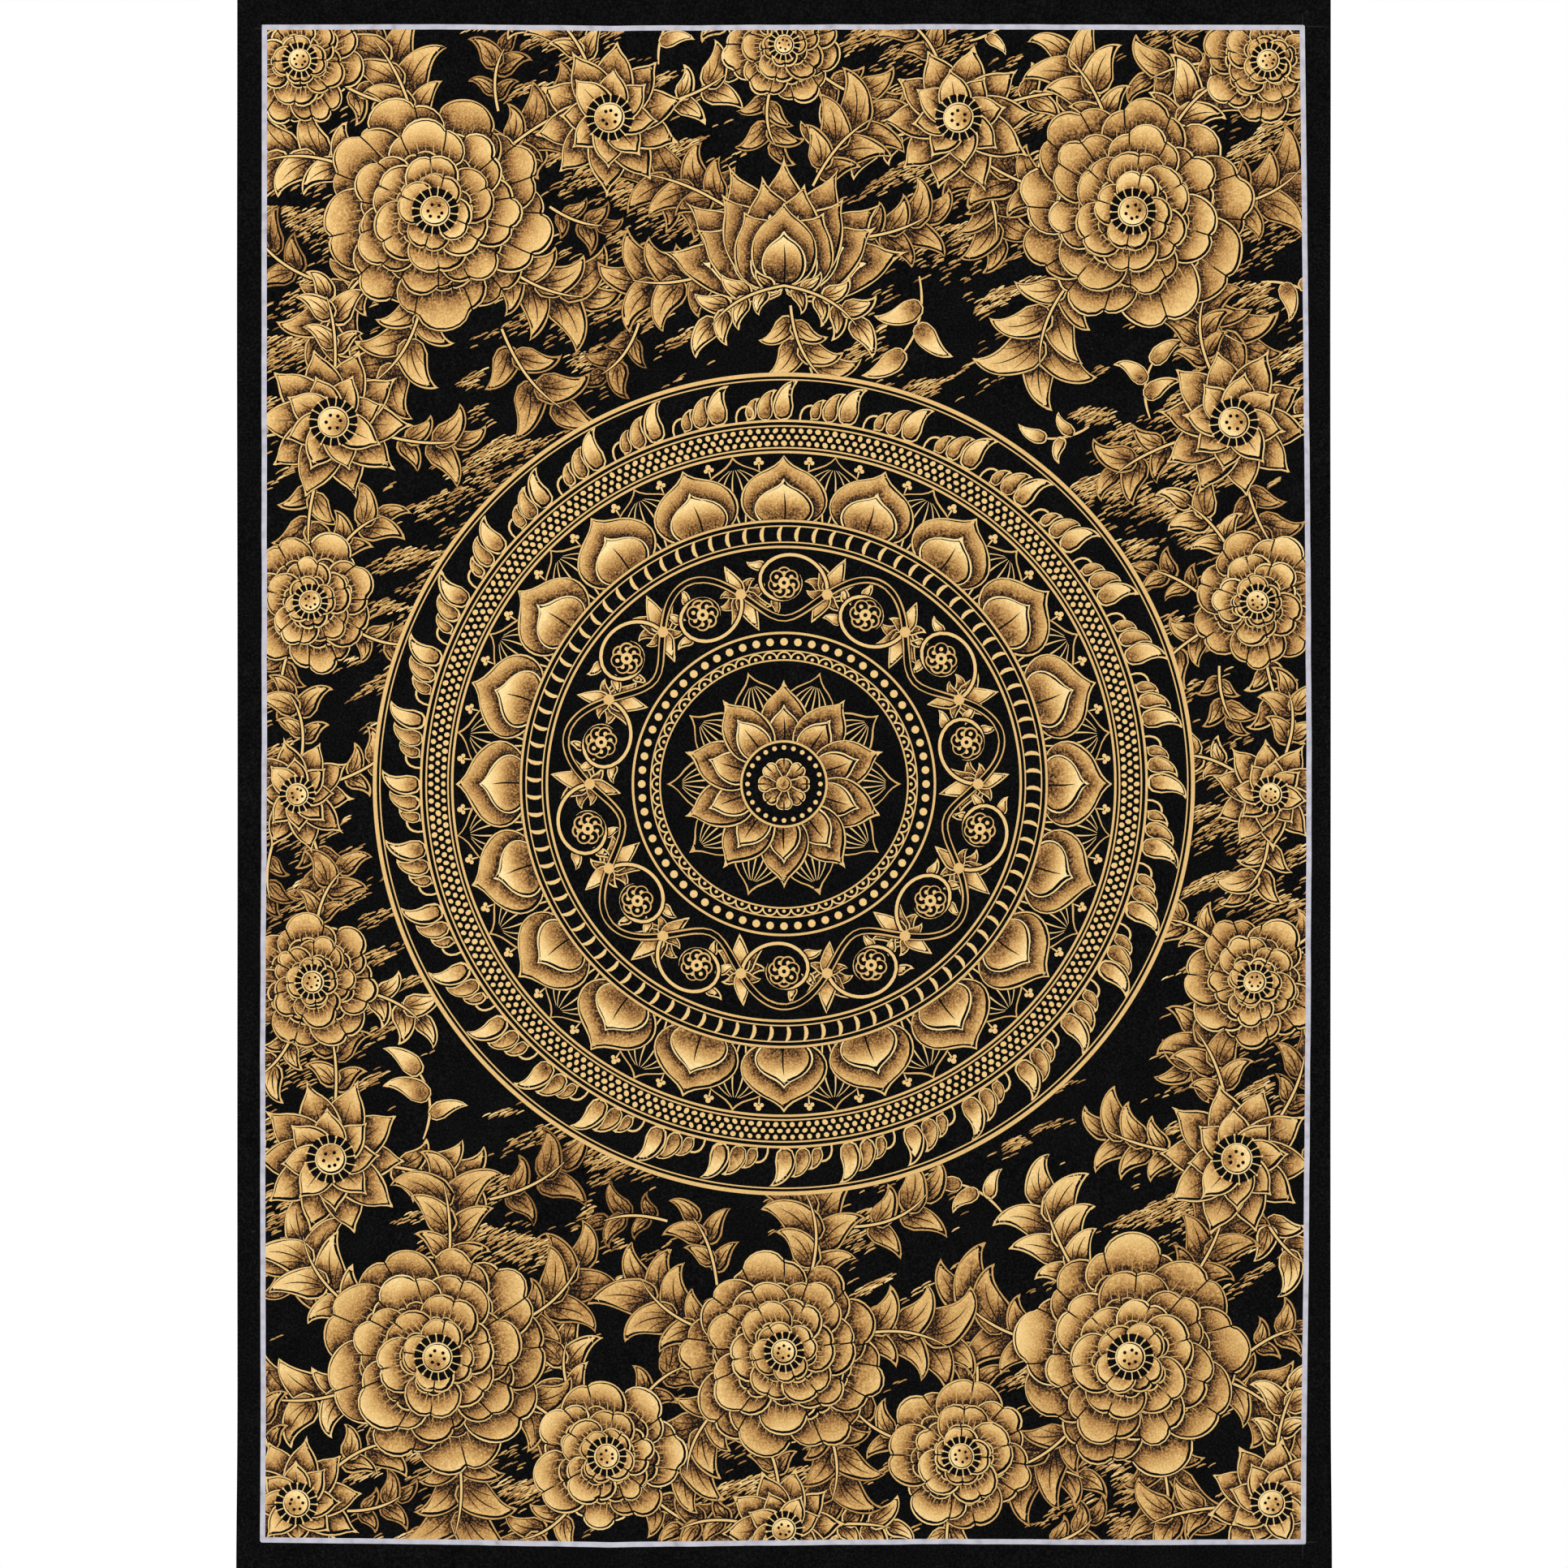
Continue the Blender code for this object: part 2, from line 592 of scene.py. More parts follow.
def cloth(material):
    """The whole cloth, front, back and cut edges, as one closed mesh."""
    xs, zs = cloth_lines()
    x, z = (grid.ravel() for grid in np.meshgrid(xs, zs))
    middle = stand_off(x, z)
    half = CLOTH_THICKNESS / 2
    points = np.vstack([np.stack([x, middle + aside, z], 1) for aside in (-half, half)])
    columns, rows, back = len(xs), len(zs), len(x)
    across = np.arange(columns)
    down = np.arange(rows) * columns
    rim = np.concatenate([
        down, (rows - 1) * columns + across[1:], (down + columns - 1)[::-1][1:],
        across[::-1][1:-1],
    ])
    ahead = np.roll(rim, -1)
    faces = np.vstack([
        grid_faces(columns, rows, 0, True), grid_faces(columns, rows, back, False),
        np.stack([rim, rim + back, ahead + back, ahead], 1),
    ])
    piece = add_piece("painted_canvas", points, faces, material)
    piece.data.set_sharp_from_angle(angle=SHARP_EDGE)
    set_attribute(piece, "back", np.repeat((0.0, 1.0), back))
    return piece


# ---- the pale line ----


def bow(side, share):
    stations = np.linspace(0, 1, len(LINE_BOWS))
    return np.interp(share, stations, [row[side] for row in LINE_BOWS])


def line_sides(inset):
    """The four sides of the pale line's outer edge, each drawn this far further in."""
    left, right, low, high = LINE_BOX
    share = np.linspace(0, 1, LINE_STEPS + 1)
    wobble = (0.05 * np.sin(share * 71) + 0.03 * np.sin(share * 163)) * np.sin(share * math.pi)
    left_x, right_x = left - bow(0, share) + inset, right + bow(1, share) - inset
    high_z, low_z = high + bow(2, share) - inset, low - bow(3, share) + inset
    return (
        np.stack([left_x + wobble, high_z[0] + (low_z[0] - high_z[0]) * share], 1),
        np.stack([left_x[-1] + (right_x[-1] - left_x[-1]) * share, low_z + wobble], 1),
        np.stack([right_x + wobble, high_z[-1] + (low_z[-1] - high_z[-1]) * share], 1)[::-1],
        np.stack([left_x[0] + (right_x[0] - left_x[0]) * share, high_z + wobble], 1)[::-1],
    )


def closed(sides, cuts):
    """One outline from the four sides, with rounded corners that start this far from them."""
    points = []
    for k, (side, cut) in enumerate(zip(sides, cuts)):
        corner = side[-1]
        back, ahead = side[-2] - corner, sides[(k + 1) % 4][1] - corner
        back, ahead = (step / np.hypot(*step) * cut for step in (back, ahead))
        middle = corner + (back + ahead) * ROUNDING
        points += [*side[1:-1], corner + back, middle, corner + ahead]
    return np.array(points)


def pale_line():
    """The line all the way round, and the faint guide marks that run on past its corners."""
    marks = [
        stroke([(x, z), (x + out_x / 2, z + out_z / 2), (x + out_x, z + out_z)],
               GUIDE_WIDTH, 0.9, 0.5, tone=0.15)
        for x, z, out_x, out_z in GUIDE_MARKS
    ]
    marks.append(solid(closed(line_sides(0.0), OUTER_CUTS), 0.8))
    marks.append(Mark(closed(line_sides(LINE_WIDTH), INNER_CUTS), BARE))
    return paint(marks)[0]


def margins():
    """The bare margin outside the line, which ends the painted field under the line."""
    corners = ((-FAR, FAR), (-FAR, FAR_BELOW), (FAR, FAR_BELOW), (FAR, FAR), (-FAR, FAR))
    return [
        Mark(np.vstack([side, [end, start]]), BARE)
        for side, start, end in zip(line_sides(LINE_WIDTH / 2), corners, corners[1:])
    ]


# ---- curves and strokes, each from the origin with up as its first heading ----


def bezier(corners, count=9):
    points = [np.asarray(c, float)[None] for c in corners]
    share = np.linspace(0, 1, count)[:, None]
    while len(points) > 1:
        points = [a + (b - a) * share for a, b in zip(points, points[1:])]
    return points[0]


def circle(radius, centre=(0.0, 0.0), count=None):
    count = count or max(8, round(TURN * radius / CIRCLE_STEP))
    return polar(radius, np.arange(count) * TURN / count) + centre


def coil(length, turn, power=1.0):
    """A curve that has turned left by this much at its end, tighter towards it."""
    count = max(6, round(length / COIL_STEP), round(abs(turn) * 5))
    share = (np.arange(count) + 0.5) / count
    steps = polar(length, math.pi / 2 + turn * share**power) / count
    return np.vstack([[0.0, 0.0], np.cumsum(steps, 0)])


def left_of(spine):
    along = np.gradient(spine, axis=0)
    along /= np.maximum(np.hypot(along[:, 0], along[:, 1]), LEAST_LENGTH)[:, None]
    return np.stack([-along[:, 1], along[:, 0]], 1)


def band(spine, widths):
    """The outline of a band along a spine, of one width or of a width for each point."""
    spine = np.asarray(spine, float)
    aside = left_of(spine) * (np.broadcast_to(widths, len(spine)) / 2)[:, None]
    return np.vstack([spine - aside, (spine + aside)[::-1]])


def solid(outline, tone=0.9):
    return Mark(outline, SOLID, tones=(tone, tone))


def stroke(spine, width, start=0.3, end=0.15, brush=SOLID, tone=0.9):
    """A pull of the brush that swells from its start and thins out to its end."""
    share = np.linspace(0, 1, len(spine))
    widths = width * np.interp(share, (0, 0.25, 0.65, 1), (start, 1, 0.95, end))
    return Mark(band(spine, widths), brush, tones=(tone, tone))


def dot(radius, centre=(0.0, 0.0), tone=0.9):
    return solid(circle(radius, centre, 10), tone)


def bare_disc(radius, centre=(0.0, 0.0)):
    return Mark(circle(radius, centre), BARE)


def circles(*rings, arcs=10):
    """Drawn circles of these radii and widths, in arcs short enough to be one stroke each."""
    for radius, width in rings:
        count = max(6, round(radius * 7 / arcs))
        for k in range(arcs):
            first, last = (TURN * (k + side) / arcs for side in (0, 1))
            spine = polar(radius, np.linspace(first, last, count))
            yield solid(band(spine, width), 0.85)


def in_ring(count, radius, make, shift=0.0):
    """Marks made for each place of a ring, turned so that up points outward.

    The first place is shifted from the top by this share of a step.
    """
    marks = []
    for k in range(count):
        angle = TURN * shift / count + TURN * k / count
        at = (radius * math.sin(angle), radius * math.cos(angle))
        marks += placed(make(), at, -angle)
    return marks


def around(count, uneven, rand):
    """Headings all the way round, each this share of a step off its even place at most."""
    first = rand.uniform(0, ANY_HEADING)
    for k in range(count):
        yield first + TURN * (k + rand.uniform(-uneven, uneven)) / count


def growing(marks, spine, i, aside):
    """Marks that grow from a point of a spine, turned this far left of its heading there."""
    ahead = spine[i + 1] - spine[i]
    return placed(marks, spine[i], math.atan2(ahead[1], ahead[0]) - math.pi / 2 + aside)


# ---- petals, leaves and flowers ----


def scalloped(length, width, lobes, rand, brush, shadow, reach, tones):
    """A petal from its root at the origin up to a scalloped edge, with its folds.

    The folds are fine dark lines from the notches of the edge towards the root.
    """
    head, root, waist = width / 2, width * 0.12, (length - width / 2) * 0.4
    spread = math.radians(rand.uniform(108, 126))
    angle = np.linspace(-spread, spread, LOBE_STEPS * lobes + 1)
    share = (angle + spread) / (2 * spread)
    share = share + rand.uniform(-0.07, 0.07) * np.sin(TURN * share)
    radius = head * (0.80 + 0.20 * np.abs(np.sin(math.pi * lobes * share)) ** 0.6)
    edge = bearing(radius, angle) + (0, length - head)
    left = bezier(((-root, 0), (-head * 0.6, waist), edge[0]), ROOT_STEPS)[:-1]
    right = bezier((edge[-1], (head * 0.6, waist), (root, 0)), ROOT_STEPS)[1:]
    marks = [Mark(np.vstack([left, edge, right]), brush, shadow, reach, tones)]
    for k in range(1, lobes):
        near = slice(LOBE_STEPS * k - NOTCH_STEPS, LOBE_STEPS * k + NOTCH_STEPS + 1)
        from_middle = np.hypot(edge[near, 0], edge[near, 1] - length + width / 2)
        notch = edge[near][int(np.argmin(from_middle))]
        line = bezier((notch, notch * (0.88, 0.80), notch * (0.52, 0.62)), 7)
        marks.append(stroke(line, 0.6, 1.0, 0.2, BARE))
    return marks


def veins(length, width, rand):
    """Fine bright lines that fan out over the shade below a petal's edge."""
    for share in np.linspace(-1, 1, 7):
        tip = length * rand.uniform(0.70, 0.82) * (1 - 0.12 * share**2)
        line = bezier(((share * width * 0.22, length * 0.42), (share * width * 0.29, tip * 0.8),
                       (share * width * 0.33, tip)), 5)
        yield stroke(line, 0.42, 1.0, 0.2, tone=0.75)


def petal(length, width, lobes, rand, brush=PETAL, curl=0.0):
    """A petal, and the smaller one that curls over it where it has one."""
    shadow = ((0, 0), (0, length * 0.25))
    tones = (0.04, rand.uniform(0.80, 0.95))
    marks = scalloped(length, width, lobes, rand, brush, shadow, length * 0.55, tones)
    if not curl:
        return marks
    if length > VEINED_FROM:
        marks += veins(length, width, rand)
    lean = rand.uniform(-0.25, 0.25)
    small, narrow = length * curl, width * curl * 0.85
    over = scalloped(small, narrow, 2, rand, brush, shadow, small * 0.9, (0.05, 0.85))
    return marks + placed(over, turn=lean)


def ogee_outline(length, width):
    """A pointed petal: a full belly drawn in to a fine flared tip."""
    belly = bezier(((width * 0.17, 0), (width * 0.60, length * 0.12),
                    (width * 0.64, length * 0.58), (width * 0.2, length * 0.81)), 22)
    tip = bezier((belly[-1], (width * 0.06, length * 0.88), (0, length)), 7)
    side = np.vstack([belly, tip[1:]])
    return np.vstack([side, side[-2::-1] * (-1, 1)])


def lotus_petal(length, width, inner=0.68):
    """A pointed petal, with a second one inside it and a vein, where it shows its face."""
    shadow = ((-width * 0.3, 0), (width * 0.3, 0))
    marks = [Mark(ogee_outline(length, width), PETAL, shadow, length * 0.6, (0.12, 0.88))]
    if inner:
        core = ogee_outline(length * inner, width * inner)
        marks.append(Mark(core, PETAL, shadow, length * inner * 0.8, (0.1, 0.95)))
    tip = length * (inner or 1.0) * 0.72
    vein = bezier(((0, 0), (width * 0.03, tip * 0.6), (0, tip)), 8)
    marks.append(stroke(vein, 0.7 if inner else 0.5, 1.0, 0.15, BARE))
    return marks


def line_petal(length, width):
    """A pointed petal in line alone, with fine veins that follow its sides."""
    yield Mark(ogee_outline(length, width), HOLLOW)
    for share in (-0.62, -0.36, -0.12, 0.12, 0.36, 0.62):
        vein = bezier(((share * width * 0.3, 0), (share * width * 0.8, length * 0.3),
                       (share * width * 0.6, length * 0.6), (share * width * 0.1, length * 0.8)), 12)
        yield stroke(vein, 0.6, 1.0, 0.3)


def horn(length, width, turn, brush, tones=(0.1, 0.9)):
    """A lobe with a round root and a full belly that hooks round to a fine tip."""
    spine = coil(length, turn, 2.0)
    share = np.linspace(0, 1, len(spine))
    widths = width * np.interp(share, (0, 0.08, 0.3, 1), (0.3, 0.7, 1.0, 1.0))
    widths = widths * (1 - share**1.9) + 0.3
    shadow = ((-width / 4, 0), (width / 4, 0))
    return Mark(band(spine, widths), brush, shadow, length * 0.5, tones)


def rib(length, bend, width):
    """A dark line along the middle of a lobe that bends like this."""
    spine = coil(length, bend, 2.0)
    middle = spine[round(len(spine) * 0.15):round(len(spine) * 0.72)]
    return stroke(middle, width, 0.8, 0.2, BARE)


def leaf(length, width, turn, pairs, rand, bright=0.9):
    """A leaf of hooked lobes along a bending midrib, the lobes by the stalk uppermost."""
    spine = coil(length, turn, 1.4)
    last = len(spine) - 1

    def lobe(share, side, open_by, size):
        i = min(last - 1, round(share * last))
        bend = side * rand.uniform(0.9, 1.5)
        marks = [horn(size, size * rand.uniform(0.54, 0.62), bend, PETAL, (0.08, bright))]
        marks.append(rib(size, bend, 0.5))
        if size > RIBBED_FROM:
            for fan in (-0.28, 0.28):
                marks += placed([rib(size * 0.78, bend * 0.8, 0.34)], turn=fan)
        return growing(marks, spine, i, side * open_by)

    marks = lobe(0.66, 1 if turn > 0 else -1, -0.1, length * 0.40)
    for k in range(pairs):
        share = 0.60 - 0.58 * (k + 0.5) / pairs
        profile = math.sin(math.pi * (0.25 + 0.6 * (1 - share))) ** 0.7
        for side in (-1, 1):
            size = width * 0.82 * profile * rand.uniform(0.92, 1.08)
            marks += lobe(share + side * 0.03, side, rand.uniform(0.50, 0.68), size)
    core = spine[: round(last * 0.74)]
    return marks + [stroke(core, 2.0, 1.0, 0.3, BARE), stroke(core, 0.9, 1.0, 0.25)]


def seed_head(radius, rand):
    """The domed middle of a flower, with dark seeds, and the stamens round it."""
    stamen = [(0, radius * 0.9), (0.1, radius * 1.2), (0, radius * 1.5)]
    shadow = ((0, -radius), (0.1, -radius))
    marks = [bare_disc(radius * 1.5)]
    marks += in_ring(16, 0, lambda: [
        stroke(stamen, 0.4, 1.0, 1.0), dot(0.45, (0, radius * rand.uniform(1.4, 1.6))),
    ])
    marks.append(Mark(circle(radius), SMALL, shadow, radius * 1.6, (0.3, 0.95)))
    for k in range(6):
        angle = k * math.pi / 3 + rand.uniform(-0.2, 0.2)
        at = (radius * 0.45 * math.cos(angle), radius * 0.45 * math.sin(angle))
        marks.append(bare_disc(radius * 0.12, at))
    return marks


#  length   width   petals   curl, each a share of the flower's radius
LARGE_PEONY = (
    (1.00, 0.76, 9, 0.70),
    (0.77, 0.64, 7, 0.68),
    (0.54, 0.52, 6, 0.64),
    (0.34, 0.38, 4, 0.0),
)
SMALL_PEONY = (
    (1.00, 0.86, 7, 0.68),
    (0.68, 0.70, 5, 0.62),
    (0.40, 0.46, 4, 0.0),
)


def peony(radius, rand):
    """A round flower of scalloped petals in three or four rings."""
    marks = []
    large = radius > LARGE_PEONY_FROM
    for length, width, count, curl in LARGE_PEONY if large else SMALL_PEONY:
        for angle in around(count, 0.12, rand):
            size = radius * rand.uniform(0.92, 1.06)
            lobes = rand.choice((2, 3, 3)) if length > 0.6 else 2
            marks += placed(petal(size * length, size * width, lobes, rand, curl=curl), turn=angle)
    return marks + seed_head(radius * (0.13 if large else 0.17), rand)


def dahlia(radius, rand):
    """A round flower of pointed petals in two rings."""
    marks = []
    for length, count in ((1.0, 10), (0.66, 8)):
        for angle in around(count, 0.08, rand):
            size = radius * length * rand.uniform(0.95, 1.04)
            width = TURN * size * 0.84 / count
            marks += placed(lotus_petal(size, width, inner=0), turn=angle)
    return marks + seed_head(radius * 0.2, rand)


def from_outside(spread, count):
    """Headings fanned evenly over this spread to each side, the middle ones last."""
    return sorted(np.linspace(-spread, spread, count), key=abs, reverse=True)


def blossom(radius, rand):
    """A lotus seen from the side, its pointed petals fanned upward."""
    marks = []
    rows = ((1.0, 0.42, 7, 1.3), (0.84, 0.46, 6, 1.0), (0.64, 0.5, 3, 0.5))
    for length, width, count, spread in rows:
        for angle in from_outside(spread, count):
            size = radius * 1.35 * rand.uniform(0.96, 1.03)
            marks += placed(lotus_petal(size * length, size * width), turn=angle)
    for side in (-1.0, 1.0):
        sepal = leaf(radius * 1.2, radius * 0.5, side * 1.2, 3, rand)
        marks += placed(sepal, turn=side * 1.75)
    return placed(marks, at=(0, -radius * 0.45))


# ---- small filling marks ----


def sprig(length, rand):
    """Three hooked leaflets on a short stem."""
    turn = rand.choice((-1, 1)) * rand.uniform(0.5, 1.0)
    spine = coil(length * 0.7, turn, 1.2)
    yield stroke(spine, 0.9, 0.6, 0.8)
    for share, side, open_by in ((0.35, -1, 0.9), (0.6, 1, 0.8), (0.98, np.sign(turn), 0.1)):
        i = min(len(spine) - 2, round(share * (len(spine) - 1)))
        size = length * rand.uniform(0.42, 0.52)
        leaflet = horn(size, size * 0.5, side * rand.uniform(0.8, 1.3), SMALL)
        yield from growing([leaflet], spine, i, side * open_by)


def ridge(x, down):
    """How far a wavy row of flicks lies above or below its own level."""
    return 13.0 * math.sin(0.036 * x + 0.013 * down) + 3.0 * math.sin(0.11 * x + 0.03 * down)


def tongues(x, z, down):
    """High where flicks gather: broad banks, broken into slanting tongues."""
    bank = math.sin(0.05 * x + 1.8 * math.sin(0.02 * down))
    return bank + 0.75 * math.sin(0.42 * (z - 0.5 * x) + 2.0 * math.sin(0.05 * x))


def flick(x, z, length, width, rand, tone):
    """A short pull of the brush up to the right that flattens out at its end."""
    rise = length * rand.uniform(0.42, 0.68)
    spine = bezier(((x, z), (x + length * 0.66, z + rise * 0.92), (x + length, z + rise * 0.9)), 5)
    return stroke(spine, width, 0.2, 0.5, tone=tone)


def drifts(ground, rand):
    """Flicks over bare ground, so dense under a ridge that they merge, and thin below it."""
    marks = []
    left, right, low, high = LINE_BOX
    for row in range(round((high - low + DRIFT_OVERRUN) / DRIFT_PITCH)):
        down = high + DRIFT_ABOVE - row * DRIFT_PITCH
        thick = 1.15 * (1 - row % DRIFT_ROWS / DRIFT_ROWS) ** 1.5
        x = left + rand.uniform(0, 2)
        while x < right:
            length = rand.uniform(2.0, 4.0)
            z = down + ridge(x, down) + rand.uniform(-0.25, 0.25)
            gathered = tongues(x, z, down) + rand.uniform(-0.3, 0.3) > DRIFT_GATHERED
            if gathered and rand.random() < thick and ground.bare((x, z)):
                tone = rand.uniform(0.55, 1.0) * (0.78 + 0.19 * thick)
                marks.append(flick(x, z, length, rand.uniform(0.45, 0.72), rand, tone))
            x += length * rand.uniform(0.5, 0.85)
    return marks


# ---- the painted field ----


#   across   down   radius   kind, for the left half; each is mirrored
FLOWERS = (
    (-186, -24, 27, peony),
    (-67, -46, 30, dahlia),
    (-134, -82, 46, peony),
    (-173, -163, 31, dahlia),
    (-182, -232, 27, peony),
    (-187, -306, 23, dahlia),
    (-181, -378, 27, peony),
    (-68, -560, 30, peony),
    (-174, -446, 31, dahlia),
    (-133, -522, 46, peony),
    (-187, -578, 27, dahlia),
)
#   across   down   radius   kind, on the middle line
MIDDLE_FLOWERS = (
    (0, -18, 24, peony),
    (0, -94, 37, blossom),
    (0, -588, 24, dahlia),
    (0, -520, 40, peony),
)
#   rows up   columns right, from a place to its neighbours
BESIDE = ((1, 0), (-1, 0), (0, 1), (0, -1))
CORNERWISE = ((1, 1), (-1, -1), (1, -1), (-1, 1))


def flower_places():
    """(x, z, radius, kind, mirrored) of every flower."""
    for x, z, radius, kind in FLOWERS:
        yield x, z, radius, kind, False
        yield -x, z, radius, kind, True
    for x, z, radius, kind in MIDDLE_FLOWERS:
        yield x, z, radius, kind, False


def wreath(radius, rand):
    """Long leaves from under a flower, all the way round."""
    for angle in around(2 + round(radius / 13), 0.2, rand):
        length = radius * rand.uniform(0.75, 0.95) + 15
        turn = rand.choice((-1, 1)) * rand.uniform(0.5, 1.4)
        bright = rand.uniform(0.62, 0.92)
        frond = leaf(length, length * rand.uniform(0.56, 0.66), turn, 2 + (length > 42), rand, bright)
        yield from placed(placed(frond, (0, radius * 0.66)), turn=angle)


class Ground:
    """Which places of the field are still bare."""

    def __init__(self):
        left, right, low, high = LINE_BOX
        self.x = np.arange(left, right, GROUND_PITCH)
        self.z = np.arange(low, high, GROUND_PITCH)
        across, up = np.meshgrid(self.x, self.z)
        self.free = np.hypot(across - MEDALLION[0], up - MEDALLION[1]) > MEDALLION_RADIUS

    def bare(self, at):
        column, row = np.searchsorted(self.x, at[0]), np.searchsorted(self.z, at[1])
        return column < len(self.x) and row < len(self.z) and self.free[row, column]

    def cover(self, marks):
        for mark in marks:
            low, high = mark.outline.min(0), mark.outline.max(0)
            columns = slice(*np.searchsorted(self.x, (low[0], high[0])))
            rows = slice(*np.searchsorted(self.z, (low[1], high[1])))
            x, z = np.meshgrid(self.x[columns], self.z[rows])
            if not x.size:
                continue
            spots = np.stack([x.ravel(), z.ravel()], 1)
            taken = windings(spots, mark.outline, np.roll(mark.outline, -1, 0)) != 0
            self.free[rows, columns] &= ~taken.reshape(x.shape)

    def room(self):
        """How far each free place is from the nearest one that is taken."""
        left = self.free
        rows, columns = left.shape
        room = np.zeros(left.shape)
        for step in range(ROOM_STEPS):
            room += left
            wide = np.pad(left, 1, constant_values=True)
            for up, right in BESIDE + CORNERWISE * (step % 2):
                left = left & wide[1 + up:1 + up + rows, 1 + right:1 + right + columns]
        return room * GROUND_PITCH


def fill_bare_ground(ground, flowers, rand):
    """Leaves and sprigs in what bare places are left, the widest places first."""
    marks = []
    for _ in range(MOST_FILLINGS):
        room = ground.room()
        row, column = np.unravel_index(np.argmax(room), room.shape)
        space = room[row, column]
        if space < LEAST_ROOM:
            break
        at = np.array((ground.x[column], ground.z[row]))
        nearest = min(flowers, key=lambda f: math.hypot(f[0] - at[0], f[1] - at[1]) - f[2])
        outward = math.atan2(at[1] - nearest[1], at[0] - nearest[0]) - math.pi / 2
        turn = outward + rand.uniform(-0.9, 0.9)
        if rand.random() < 0.75:
            length, bend = space * 2.5, rand.choice((-1, 1)) * rand.uniform(0.6, 1.4)
            new = leaf(length, length * 0.6, bend, 2, rand, rand.uniform(0.38, 0.7))
            new = placed(new, (0, -length * 0.5))
        else:
            new = placed(sprig(space * 2.1, rand), (0, -space))
        new = placed(new, at, turn)
        ground.cover(new + [bare_disc(space * 0.9, at)])
        marks = new + marks
    return marks


def field(rand):
    """The leaf and flower field round the medallion."""
    flowers = list(flower_places())
    leaves, heads = [], []
    for x, z, radius, kind, mirrored in flowers:
        own = random.Random(abs(x) * 1000 - z + (0.5 if mirrored else 0))
        leaves += placed(wreath(radius, own), (x, z), flip=mirrored)
        lean = 0 if kind is blossom else own.uniform(0, ANY_HEADING)
        heads += placed(kind(radius, own), (x, z), lean, flip=mirrored)
    ground = Ground()
    ground.cover(leaves + heads)
    filling = fill_bare_ground(ground, flowers, rand)
    return drifts(ground, rand) + filling + leaves + heads


# ---- the medallion ----


def flame(height, rand):
    """Three hooked tongues, each tucked behind the next, and a fine curl under the last."""
    marks = placed([stroke(coil(height * 1.15, -5.0, 1.5), 0.8, 0.8, 0.8)], (height * 0.42, 0))
    for offset, share, brush in ((-0.86, 0.56, SMALL), (-0.48, 0.78, SMALL), (0.0, 1.0, PETAL)):
        size = height * share * rand.uniform(0.97, 1.03)
        marks += placed([horn(size * 1.22, size * 0.62, -1.5, brush)], (height * offset, 0), 0.12)
    return marks


def palmette(size, spread, count):
    """A fan of leaflets that hook outwards, the middle one uppermost."""
    for angle in from_outside(spread, count):
        length = size * (1 - 0.3 * abs(angle) / spread)
        yield from placed([horn(length, length * 0.56, angle * 1.2, SMALL)], turn=angle)


def bead_flower(radius, petals):
    """A small flower of ringed beads, drawn with the finest brush."""
    size = radius * 0.46
    beads = in_ring(petals, radius - size, lambda: [
        Mark(circle(size), HOLLOW), dot(size * 0.28, (0, size * 0.1)),
    ])
    return [bare_disc(radius * 1.1), *beads, solid(circle(radius * 0.36)), bare_disc(radius * 0.14)]


def coiled_branch(wide, swing, side):
    """The curl of a branch, from its fork with the stem in to the flower at its middle."""
    share = np.linspace(0, 1, 48)
    fork = math.hypot(wide, swing * 0.24)
    reach = COIL_HEART + (fork - COIL_HEART) * (1 - share) ** 2.3
    angle = side * (math.atan2(swing * 0.24, wide) - TURN * 1.15 * share)
    return np.stack([np.cos(angle), np.sin(angle) * 0.88], 1) * reach[:, None]


def bend_of_scroll(stem_radius, swing, half, side, rand):
    """One bend of the stem: its leaves, then its stem and branch, then its flower."""
    across = np.linspace(-half, half, 22)
    stem = bearing(stem_radius + side * swing * np.cos(across / half * math.pi / 2), across)
    centre = (0.0, stem_radius - side * swing * 0.24)
    branch = coiled_branch(stem_radius * math.sin(half), swing, side) + centre
    leaves = []
    for i, size in ((16, 8.0), (22, 7.5), (28, 7.0)):
        leaflet = horn(size, size * 0.58, side * rand.uniform(0.9, 1.2), SMALL)
        leaves += growing([leaflet], branch, i, side * 0.75)
    inward = math.pi if side > 0 else 0.0
    leaves += placed(palmette(15.5, 1.1, 5), stem[-1], inward - half + side * 0.25)
    leaves += placed(palmette(12.5, 0.9, 3), stem[-1], inward + math.pi - half + side * 0.3)
    drawn = [
        stroke(branch, 2.4, 1.0, 0.8, BARE), stroke(branch, 1.2, 1.0, 0.7),
        Mark(band(stem, 3.4), BARE), Mark(band(stem, 2.6), HOLLOW),
    ]
    return leaves, drawn, placed(bead_flower(COIL_HEART - 0.4, 7), centre)


def scroll(stem_radius, swing, waves, rand):
    """A stem winding round a ring, with a leafy coil round a rosette in each of its bends."""
    leaves, drawn, flowers = layers = ([], [], [])
    bends = waves * 2
    for k in range(bends):
        parts = bend_of_scroll(stem_radius, swing, math.pi / bends, 1 if k % 2 else -1, rand)
        for layer, marks in zip(layers, parts):
            layer += placed(marks, turn=-TURN * k / bends)
    buds = in_ring(bends, stem_radius, lambda: [dot(2.1, tone=0.85)], 0.5)
    return leaves + drawn + buds + flowers


def bare_ring(inner, outer):
    """Bare ground between two circles."""
    rim, hole = circle(outer), circle(inner)
    return [Mark(np.vstack([rim, rim[:1], hole[:1], hole[::-1]]), BARE)]


